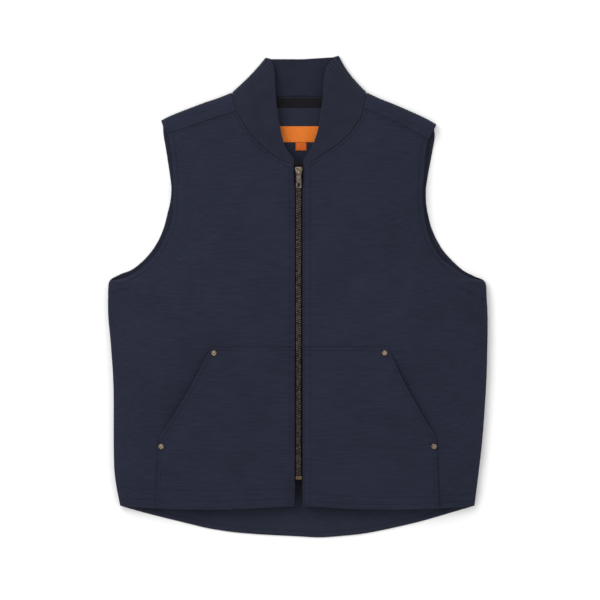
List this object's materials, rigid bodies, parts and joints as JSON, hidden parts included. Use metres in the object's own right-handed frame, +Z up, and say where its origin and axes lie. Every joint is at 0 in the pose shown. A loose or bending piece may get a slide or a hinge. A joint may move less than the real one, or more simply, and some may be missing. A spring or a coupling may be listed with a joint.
{
  "type": "work vest",
  "caption": "Sleeveless work vest laid flat, with a closed front zip, rib-knit stand collar, slanted hand pockets with riveted mouths, and a drop tail.",
  "frame": {"origin": "middle of the vest's outline, on the surface that it lies on", "axes": "+X across the vest to the viewer's right, +Y from the tail to the collar, +Z up from the surface to the front"},
  "size_m": [0.6319, 0.8004, 0.0425],
  "materials": {
    "duck": "matt navy cotton duck",
    "rib_knit": "matt navy rib knit",
    "tape": "matt black woven tape",
    "brass": "aged, dull",
    "label": "orange woven label, bare",
    "size_tab": "deep orange woven tab, bare"
  },
  "bodies": {
    "vest": {"back_panel": "duck", "collar": "rib_knit", "front_panel_left": "duck", "front_panel_right": "duck", "hanger_loop": "duck", "label": "label", "neck_tape": "tape", "pocket_left": "duck", "pocket_right": "duck", "rivet_lower_left": "brass", "rivet_lower_right": "brass", "rivet_upper_left": "brass", "rivet_upper_right": "brass", "size_tab": "size_tab", "zip_chain": "brass", "zip_slider": "brass", "zip_stop": "brass", "zip_tape_left": "tape", "zip_tape_right": "tape"},
    "pull": {"zip_pull": "brass"}
  },
  "joints": [
    {"name": "pull_hinge", "type": "hinge", "parent": "vest", "child": "pull", "pos_m": [0.002, 0.2055, 0.03101], "axis": [-1, 0, 0], "range_deg": [0, 150]}
  ]
}
